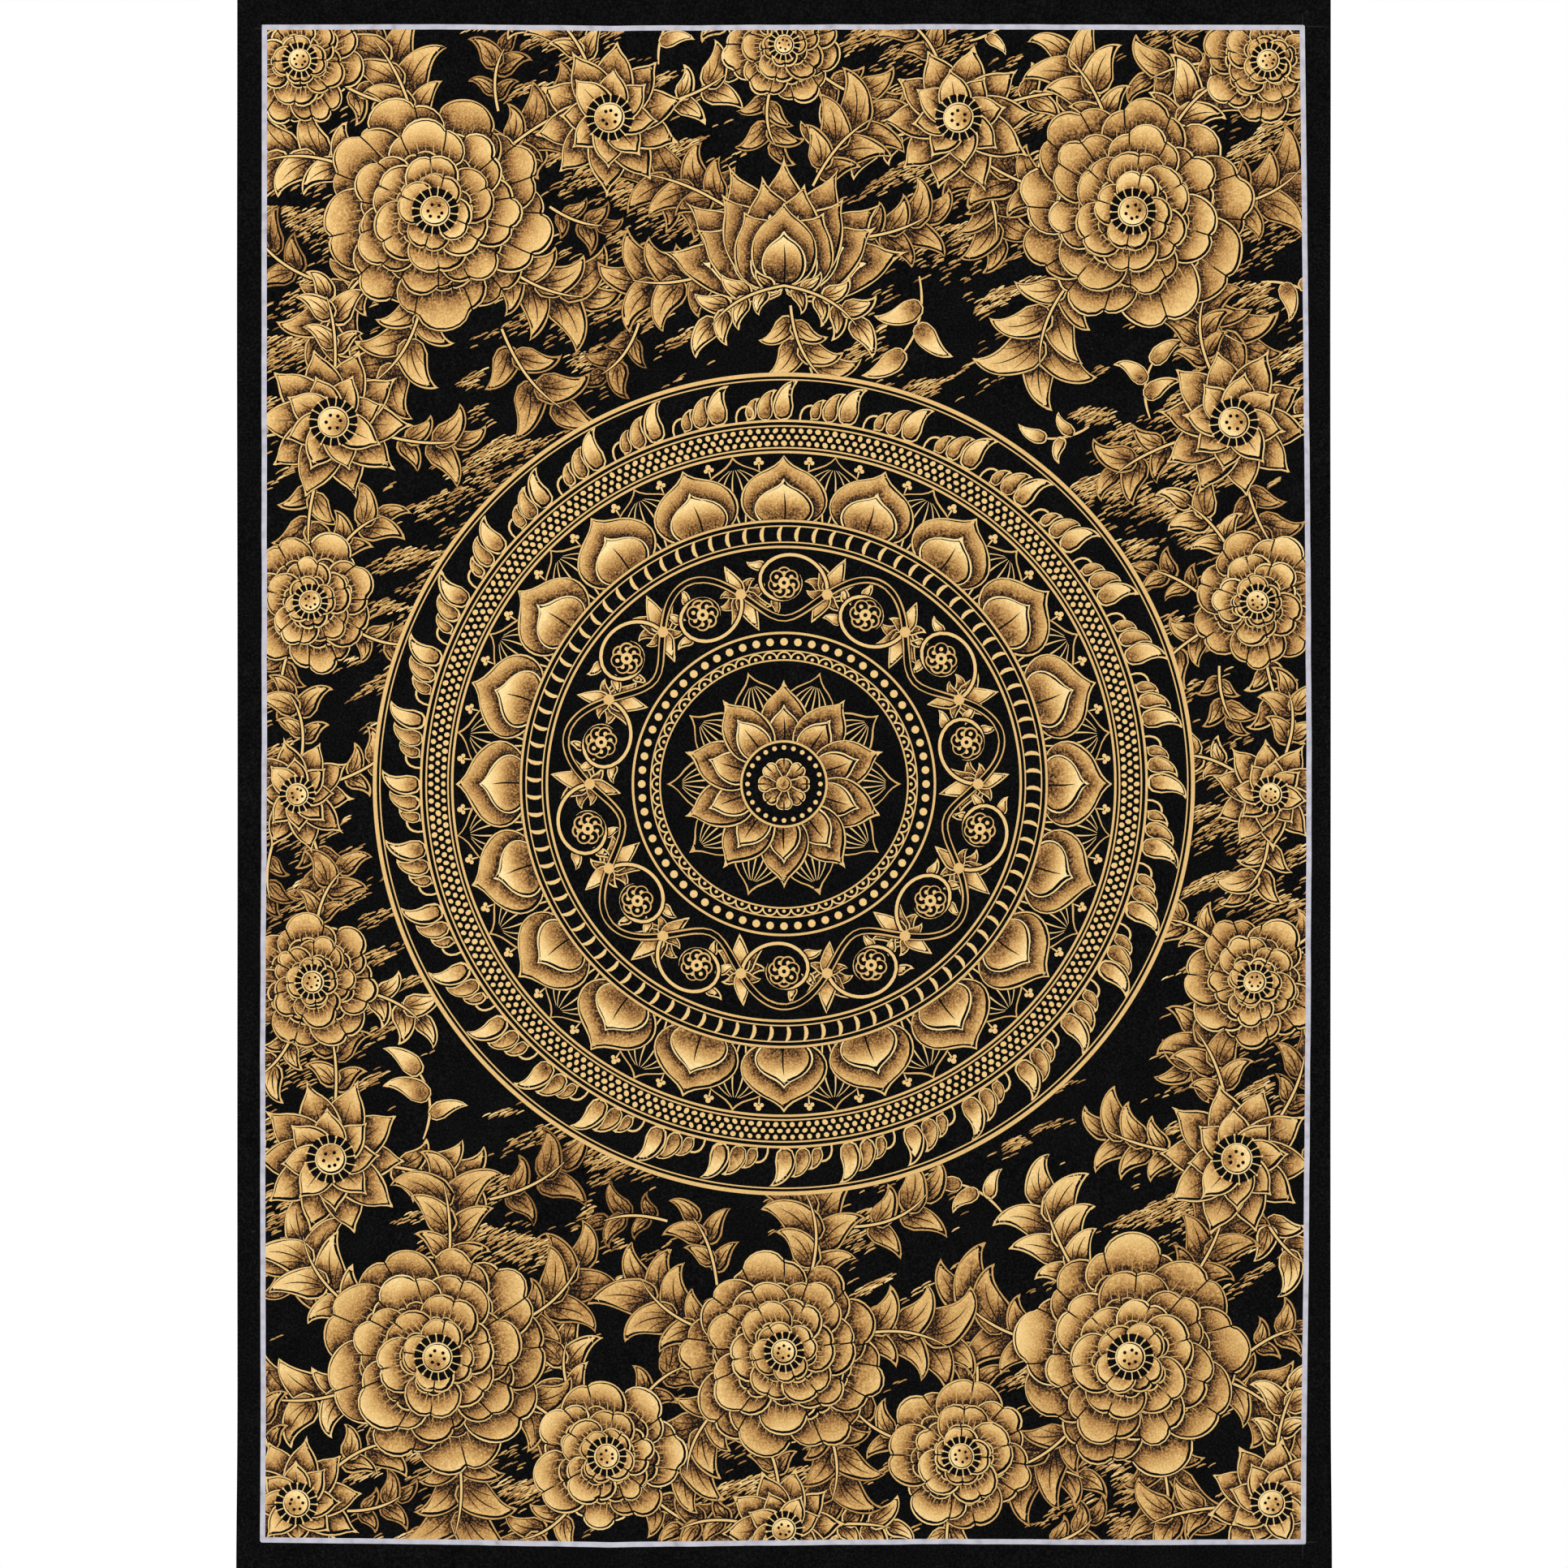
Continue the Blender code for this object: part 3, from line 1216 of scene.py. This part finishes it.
def rosette(radius, petals, rand):
    width = radius * 5.4 / petals
    marks = in_ring(petals, 0, lambda: petal(radius, width, 2, rand, SMALL))
    middle = Mark(circle(radius * 0.3), SMALL, ((0, 0), (0, 0.1)), radius * 0.3)
    return [bare_disc(radius * 1.12), *marks, middle]


def pebble(rand):
    """One of the many uneven dots of a scale pattern."""
    outline = circle(1.05, count=7) * (rand.uniform(0.9, 1.2), rand.uniform(0.8, 1.05))
    return [solid(turned(outline, rand.uniform(0, ANY_HEADING)))]


def slash():
    return placed([stroke(coil(6.4, -1.3), 1.5, 0.5, 0.3)], (-1.4, 0), 0.5)


def trefoil(size):
    """A bud between two petal tips, on a short stalk."""
    yield stroke([(0, -size * 1.4), (0, -size * 0.7), (0, 0)], 0.7, 0.5, 1.0)
    for x, z, share in ((-0.62, 0.1, 0.42), (0.62, 0.1, 0.42), (0.0, 0.75, 0.55)):
        yield dot(size * share, (x * size, z * size))


def scallop(radius):
    """One arc of a fine lace edge, with a dot under it."""
    arc = bearing(radius, np.linspace(-1.57, 1.57, 9))
    return [stroke(arc, 0.6, 1.0, 1.0), dot(radius * 0.24, (0, radius * 0.3))]


def medallion(rand):
    """The round ornament, from its rim to its middle."""
    # the rim of flames, and the band of pebbles inside it
    marks = in_ring(36, 139.6, lambda: flame(14.6, rand))
    marks += circles((157.2, 1.5), (155.2, 0.5), (139.4, 0.9), (137.4, 0.6))
    for row, radius in enumerate((135.6, 133.2, 130.8)):
        marks += in_ring(260, radius, lambda: pebble(rand), row / 2)
    marks += circles((129.0, 0.6), (127.4, 0.9))
    # the large pointed petals, with buds and petals in line between their tips
    marks += in_ring(40, 123.4, lambda: trefoil(1.9), 0.5)
    marks += in_ring(20, 101.0, lambda: line_petal(26.0, 30.0), 0.5)
    marks += in_ring(20, 98.0, lambda: lotus_petal(28.5, 33.0))
    marks.append(bare_disc(101.6))
    # the winding stem, and the band of slashes round it
    marks += scroll(74.6, 11.0, 7, rand)
    marks += bare_ring(90.9, 101.6)
    marks += circles((101.0, 0.9), (99.0, 0.5))
    marks += in_ring(90, 93.2, slash)
    marks += circles((92.8, 0.5), (91.0, 0.9))
    # the beads and the lace edge
    marks.append(bare_disc(58.3))
    marks += circles((58.0, 0.9), (51.2, 0.5))
    marks += in_ring(64, 54.6, lambda: [dot(1.5)])
    marks += in_ring(56, 48.0, lambda: scallop(2.7))
    marks += circles((47.6, 0.6))
    # the heart
    marks += in_ring(10, 15, lambda: line_petal(30.0, 22), 0.5)
    marks += in_ring(10, 12, lambda: lotus_petal(28.0, 19))
    marks.append(bare_disc(17.0))
    marks += circles((16.4, 0.9), arcs=6)
    marks += in_ring(24, 14.0, lambda: [dot(0.9)])
    marks += rosette(10.5, 8, rand)
    return placed(marks, MEDALLION)


# ---- materials ----


class Nodes:
    """A short way to add and join shader nodes."""

    def __init__(self, name):
        self.material = bpy.data.materials.new(name)
        self.material.use_nodes = True
        self.tree = self.material.node_tree
        self.place = self.add("TexCoord").outputs["Object"]

    def join(self, value, socket):
        if isinstance(value, bpy.types.NodeSocket):
            self.tree.links.new(value, socket)
        else:
            socket.default_value = value

    def fill(self, node, inputs):
        for name, value in inputs.items():
            self.join(value, node.inputs[name.replace("_", " ")])

    def add(self, kind, **inputs):
        node = self.tree.nodes.new("ShaderNode" + kind)
        self.fill(node, inputs)
        return node

    def math(self, operation, *values):
        node = self.add("Math")
        node.operation = operation
        for value, socket in zip(values, node.inputs):
            self.join(value, socket)
        return node.outputs[0]

    def times(self, one, other):
        return self.math("MULTIPLY", one, other)

    def scaled(self, value, factor, offset):
        return self.math("MULTIPLY_ADD", value, factor, offset)

    def attribute(self, name):
        node = self.add("Attribute")
        node.attribute_name = name
        return node.outputs["Fac"]

    def noise(self, size, detail=2.0):
        """Noise with features of about this size in metres."""
        return self.add("TexNoise", Vector=self.place, Scale=1 / size, Detail=detail).outputs["Fac"]

    def ramp(self, value, *stops):
        """Colours from positions and linear red, green and blue."""
        node = self.add("ValToRGB", Fac=value)
        elements = node.color_ramp.elements
        while len(elements) < len(stops):
            elements.new(1.0)
        for element, (position, *colour) in zip(elements, stops):
            element.position = position
            element.color = (*colour, 1.0)
        return node.outputs[0]

    def weave(self):
        """Height of the plain weave, which repeats after two threads each way."""
        parts = self.add("SeparateXYZ", Vector=self.place)
        heights = []
        for axis, repeat in (("X", WEAVE_ACROSS), ("Z", WEAVE_DOWN)):
            drift = self.times(self.noise(0.02), 3.0)
            turns = self.times(parts.outputs[axis], TURN / repeat)
            heights.append(self.math("SINE", self.math("ADD", turns, drift)))
        return self.times(*heights)

    def bump(self, height, strength, distance):
        return self.add("Bump", Strength=strength, Distance=distance, Height=height).outputs[0]

    def finish(self, **inputs):
        self.fill(self.tree.nodes["Principled BSDF"], inputs)
        return self.material


def screen(*stops):
    """Linear stops of a ramp, from positions and screen values of 0 to 255."""
    def linear(value):
        return ((value / 255 + 0.055) / 1.055) ** 2.4 if value > 10 else value / 255 / 12.92

    return [(position, *map(linear, colour)) for position, *colour in stops]


def canvas_material():
    """Black ground paint: smooth on the front, and thin enough on the back to show threads."""
    nodes = Nodes("black_canvas")
    back, weave = nodes.attribute("back"), nodes.weave()
    grain = nodes.scaled(nodes.noise(0.0008, 1.0), 0.8, -0.17)
    mottle = nodes.times(nodes.noise(0.012, 3.0), 0.22)
    fleck = nodes.math("GREATER_THAN", nodes.noise(0.0013, 1.0), 0.76)
    lift = nodes.times(nodes.noise(0.03), 0.5)
    tone = nodes.math("ADD", nodes.times(weave, nodes.scaled(back, 0.22, 0.06)), mottle)
    tone = nodes.math("ADD", tone, nodes.scaled(fleck, lift, grain))
    colour = nodes.ramp(nodes.scaled(back, 0.28, tone), *screen(
        (0.0, 0, 0, 0), (0.2, 5, 5, 5), (0.35, 11, 11, 11),
        (0.5, 20, 20, 20), (0.7, 34, 33, 33), (1.0, 60, 57, 55),
    ))
    bump = nodes.bump(nodes.scaled(weave, 0.6, nodes.times(grain, 0.4)), 0.4, 0.00012)
    return nodes.finish(Base_Color=colour, Roughness=0.9, Normal=bump, Specular_IOR_Level=0.03)


def gold_material(name, strength):
    """Matt gold paint: the tone, broken up into a fine stipple, picks the colour.

    The stipple is strongest where the paint is thin, and fades where it is laid thick.
    """
    nodes = Nodes(name)
    tone, weave = nodes.attribute("tone"), nodes.weave()
    grain = nodes.math("SUBTRACT", nodes.noise(0.0007, 1.0), 0.5)
    cloudy = nodes.math("SUBTRACT", nodes.noise(0.004, 3.0), 0.5)
    rough = nodes.scaled(cloudy, 0.5, nodes.scaled(weave, 0.10, nodes.times(grain, 1.5)))
    thin = nodes.scaled(tone, -strength * 1.2, strength * 1.25)
    colour = nodes.ramp(nodes.scaled(rough, thin, tone), *screen(
        (0.0, 16, 9, 6), (0.15, 42, 25, 15), (0.32, 104, 69, 34), (0.48, 148, 105, 56),
        (0.64, 184, 138, 79), (0.80, 215, 172, 105), (0.93, 240, 203, 136), (1.0, 254, 234, 176),
    ))
    bump = nodes.bump(nodes.math("ADD", weave, grain), 0.25, 0.0001)
    gloss = nodes.scaled(grain, 0.3, 0.5)
    return nodes.finish(Base_Color=colour, Roughness=gloss, Normal=bump, Metallic=0.35,
                        Specular_IOR_Level=0.15)


def line_material():
    """Pale paint where the tone is high, and the dotted grey of the guide marks where low."""
    nodes = Nodes("border_paint")
    tone, weave = nodes.attribute("tone"), nodes.weave()
    streak = nodes.scaled(nodes.noise(0.004, 4.0), 1.5, -0.72)
    streak = nodes.times(nodes.scaled(weave, 0.03, streak), tone)
    colour = nodes.ramp(nodes.math("ADD", tone, streak), *screen(
        (0.0, 14, 14, 14), (0.2, 36, 36, 37), (0.6, 172, 170, 179),
        (0.8, 189, 187, 197), (1.0, 199, 197, 207),
    ))
    bump = nodes.bump(weave, 0.25, 0.0001)
    return nodes.finish(Base_Color=colour, Roughness=0.8, Normal=bump, Specular_IOR_Level=0.1)


# ---- the studio ----


def pale_floor():
    mesh = bpy.data.meshes.new("floor")
    reach = FLOOR_WIDTH / 2
    corners = ((-reach, -reach), (reach, -reach), (reach, reach), (-reach, reach))
    mesh.from_pydata([(x, y, FLOOR_HEIGHT) for x, y in corners], [], [(0, 1, 2, 3)])
    nodes = Nodes("pale_floor")
    shade = nodes.ramp(nodes.noise(0.4, 3.0), (0.3, 0.70, 0.70, 0.70), (0.7, 0.76, 0.76, 0.76))
    mesh.materials.append(nodes.finish(Base_Color=shade, Roughness=0.8))
    floor = add_object("floor", mesh)


def studio():
    world = bpy.data.worlds.new("studio")
    world.use_nodes = True
    world.node_tree.nodes["Background"].inputs["Color"].default_value = (1, 1, 1, 1)
    world.node_tree.nodes["Background"].inputs["Strength"].default_value = WORLD_STRENGTH
    bpy.context.scene.world = world
    bpy.context.scene.view_settings.view_transform = "Standard"
    middle = Vector((0, 0, -CLOTH_HEIGHT / 2))
    for name, place, power in SOFT_LIGHTS:
        light = bpy.data.lights.new(name, "AREA")
        light.shape, light.size, light.energy = "DISK", LIGHT_WIDTH, power
        lamp = add_object(name, light)
        lamp.location = place
        lamp.rotation_euler = (middle - lamp.location).to_track_quat("-Z", "Y").to_euler()


def camera():
    """Square on to the cloth, as far off as makes the photograph's frame FRAME_WIDTH wide."""
    data = bpy.data.cameras.new("camera")
    data.lens, data.sensor_width = LENS, SENSOR
    view = add_object("camera", data)
    view.location = (0.0, -FRAME_WIDTH * LENS / SENSOR, FRAME_MIDDLE)
    view.rotation_euler = (math.pi / 2, 0.0, 0.0)
    bpy.context.scene.camera = view


def main():
    camera()
    pale_floor()
    studio()
    canvas = cloth(canvas_material())
    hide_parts("canvas")
    line_paint, wash_paint = gold_material("gold_line", 0.45), gold_material("gold_wash", 1.0)
    rand = random.Random(11)
    disc = placed([bare_disc(MEDALLION_RADIUS)], MEDALLION)
    for name, marks in (("field", field(rand) + disc + margins()), ("medallion", medallion(rand))):
        lines, washes = paint(marks)
        add_paint(name + "_lines", lines, line_paint, PAINT_LIFT)
        add_paint(name + "_wash", washes, wash_paint, PAINT_LIFT)
    add_paint("pale_line", pale_line(), line_material(), LINE_LIFT)


main()
